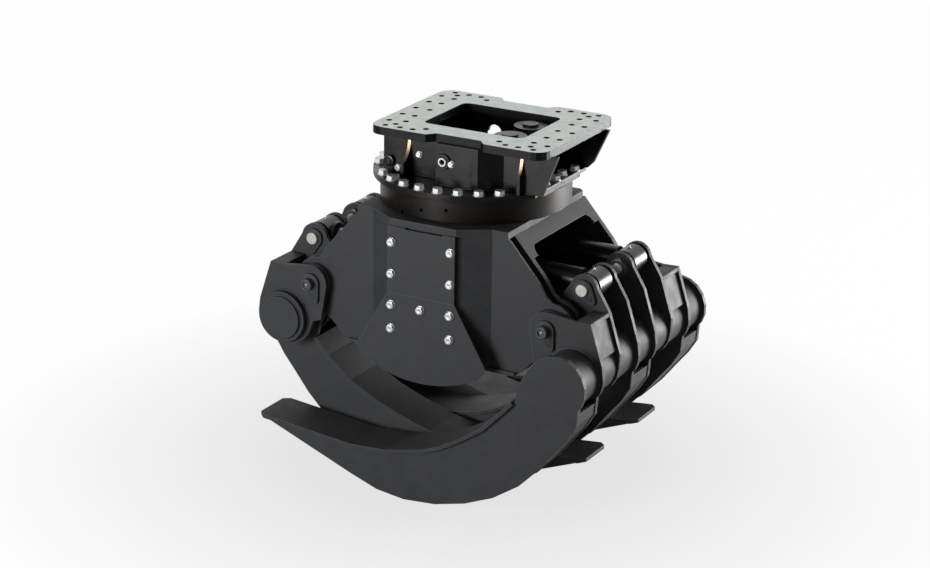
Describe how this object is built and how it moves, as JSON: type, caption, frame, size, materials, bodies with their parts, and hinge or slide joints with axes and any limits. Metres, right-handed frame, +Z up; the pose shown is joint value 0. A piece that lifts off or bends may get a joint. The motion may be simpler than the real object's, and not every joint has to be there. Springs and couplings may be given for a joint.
{
  "type": "hydraulic log grapple",
  "caption": "Hydraulic log grapple with a slewing head, a bolted mounting plate and two meshing jaws of curved tines closed by paired cylinders.",
  "frame": {"origin": "on the slewing axis at the top face of the mounting plate", "axes": "+Z up along the slewing axis, +X across the jaws towards the three-tined jaw, +Y along the jaw pivots away from the guarded front"},
  "size_m": [1.326, 0.976, 1.22],
  "materials": {
    "charcoal_paint": "fine textured satin powder coat",
    "black_gloss_paint": "gloss black paint",
    "pale_primed_steel": "pale grey-green satin over bare machined steel",
    "brown_black_race": "brown-black satin",
    "machined_steel": "machined and oiled",
    "bright_steel": "zinc-bright steel",
    "chromed_rod": "hard chrome"
  },
  "bodies": {
    "head": {"mounting_plate": "pale_primed_steel", "head_front_wall": "black_gloss_paint", "head_rear_wall": "black_gloss_paint", "head_end_wall": "black_gloss_paint", "base_flange": "black_gloss_paint", "front_slew_motor": "black_gloss_paint", "rear_slew_motor": "black_gloss_paint", "slew_outer_race": "brown_black_race", "swivel_spindle": "machined_steel"},
    "front_pinion": {"front_pinion": "machined_steel"},
    "rear_pinion": {"rear_pinion": "machined_steel"},
    "rotor": {"rotor_top_flange": "charcoal_paint", "slew_ring_gear": "machined_steel", "swivel_housing": "machined_steel", "front_side_plate": "charcoal_paint", "rear_side_plate": "charcoal_paint", "left_cross_plate": "charcoal_paint", "right_cross_plate": "charcoal_paint", "front_housing": "charcoal_paint", "front_cover": "charcoal_paint", "front_guard": "charcoal_paint", "bottom_plate": "charcoal_paint"},
    "left_jaw": {"left_torque_tube": "charcoal_paint", "left_front_cheek": "charcoal_paint", "left_rear_cheek": "charcoal_paint", "left_front_outer_ear": "charcoal_paint", "left_rear_outer_ear": "charcoal_paint", "left_front_inner_ear": "charcoal_paint", "left_rear_inner_ear": "charcoal_paint", "left_front_box_plate": "charcoal_paint", "left_rear_box_plate": "charcoal_paint", "left_front_pivot_pin": "bright_steel", "left_rear_pivot_pin": "bright_steel", "left_front_ear_pin": "bright_steel", "left_rear_ear_pin": "bright_steel", "left_front_tine": "charcoal_paint", "left_rear_tine": "charcoal_paint"},
    "right_jaw": {"right_torque_tube": "charcoal_paint", "right_front_cheek": "charcoal_paint", "right_rear_cheek": "charcoal_paint", "right_front_outer_ear": "charcoal_paint", "right_rear_outer_ear": "charcoal_paint", "right_front_inner_ear": "charcoal_paint", "right_rear_inner_ear": "charcoal_paint", "right_front_box_plate": "charcoal_paint", "right_rear_box_plate": "charcoal_paint", "right_front_pivot_pin": "bright_steel", "right_rear_pivot_pin": "bright_steel", "right_front_ear_pin": "bright_steel", "right_rear_ear_pin": "bright_steel", "right_front_tine": "charcoal_paint", "right_middle_tine": "charcoal_paint", "right_rear_tine": "charcoal_paint"},
    "front_barrel": {"front_barrel": "black_gloss_paint", "front_gland": "black_gloss_paint"},
    "rear_barrel": {"rear_barrel": "black_gloss_paint", "rear_gland": "black_gloss_paint"},
    "front_rod": {"front_rod": "chromed_rod"},
    "rear_rod": {"rear_rod": "chromed_rod"}
  },
  "joints": [
    {"name": "slew", "type": "hinge", "parent": "head", "child": "rotor", "pos_m": [0, 0, -0.25], "axis": [0, 0, 1], "continuous": true},
    {"name": "front_pinion_spin", "type": "hinge", "parent": "head", "child": "front_pinion", "pos_m": [0.16444, -0.07321, -0.23], "axis": [0, 0, 1], "continuous": true},
    {"name": "rear_pinion_spin", "type": "hinge", "parent": "head", "child": "rear_pinion", "pos_m": [0.16444, 0.07321, -0.23], "axis": [0, 0, 1], "continuous": true},
    {"name": "left_jaw_open", "type": "hinge", "parent": "rotor", "child": "left_jaw", "pos_m": [-0.45, 0, -0.567], "axis": [0, 1, 0], "range_deg": [0, 60]},
    {"name": "right_jaw_open", "type": "hinge", "parent": "rotor", "child": "right_jaw", "pos_m": [0.45, 0, -0.567], "axis": [0, 1, 0], "range_deg": [-60, 0]},
    {"name": "front_barrel_pin", "type": "hinge", "parent": "right_jaw", "child": "front_barrel", "pos_m": [0.5184, -0.133, -0.4545], "axis": [0, 1, 0], "range_deg": [0, 60]},
    {"name": "front_rod_pin", "type": "hinge", "parent": "left_jaw", "child": "front_rod", "pos_m": [-0.5184, -0.133, -0.4545], "axis": [0, 1, 0], "range_deg": [-60, 0]},
    {"name": "rear_barrel_pin", "type": "hinge", "parent": "right_jaw", "child": "rear_barrel", "pos_m": [0.5184, 0.133, -0.4545], "axis": [0, 1, 0], "range_deg": [0, 60]},
    {"name": "rear_rod_pin", "type": "hinge", "parent": "left_jaw", "child": "rear_rod", "pos_m": [-0.5184, 0.133, -0.4545], "axis": [0, 1, 0], "range_deg": [-60, 0]}
  ],
  "couplings": [
    {"joint": "front_pinion_spin", "follows": "slew", "ratio": 5},
    {"joint": "rear_pinion_spin", "follows": "slew", "ratio": 5},
    {"joint": "right_jaw_open", "follows": "left_jaw_open", "ratio": -1},
    {"joint": "front_barrel_pin", "follows": "left_jaw_open", "ratio": 1},
    {"joint": "front_rod_pin", "follows": "left_jaw_open", "ratio": -1},
    {"joint": "rear_barrel_pin", "follows": "left_jaw_open", "ratio": 1},
    {"joint": "rear_rod_pin", "follows": "left_jaw_open", "ratio": -1}
  ]
}
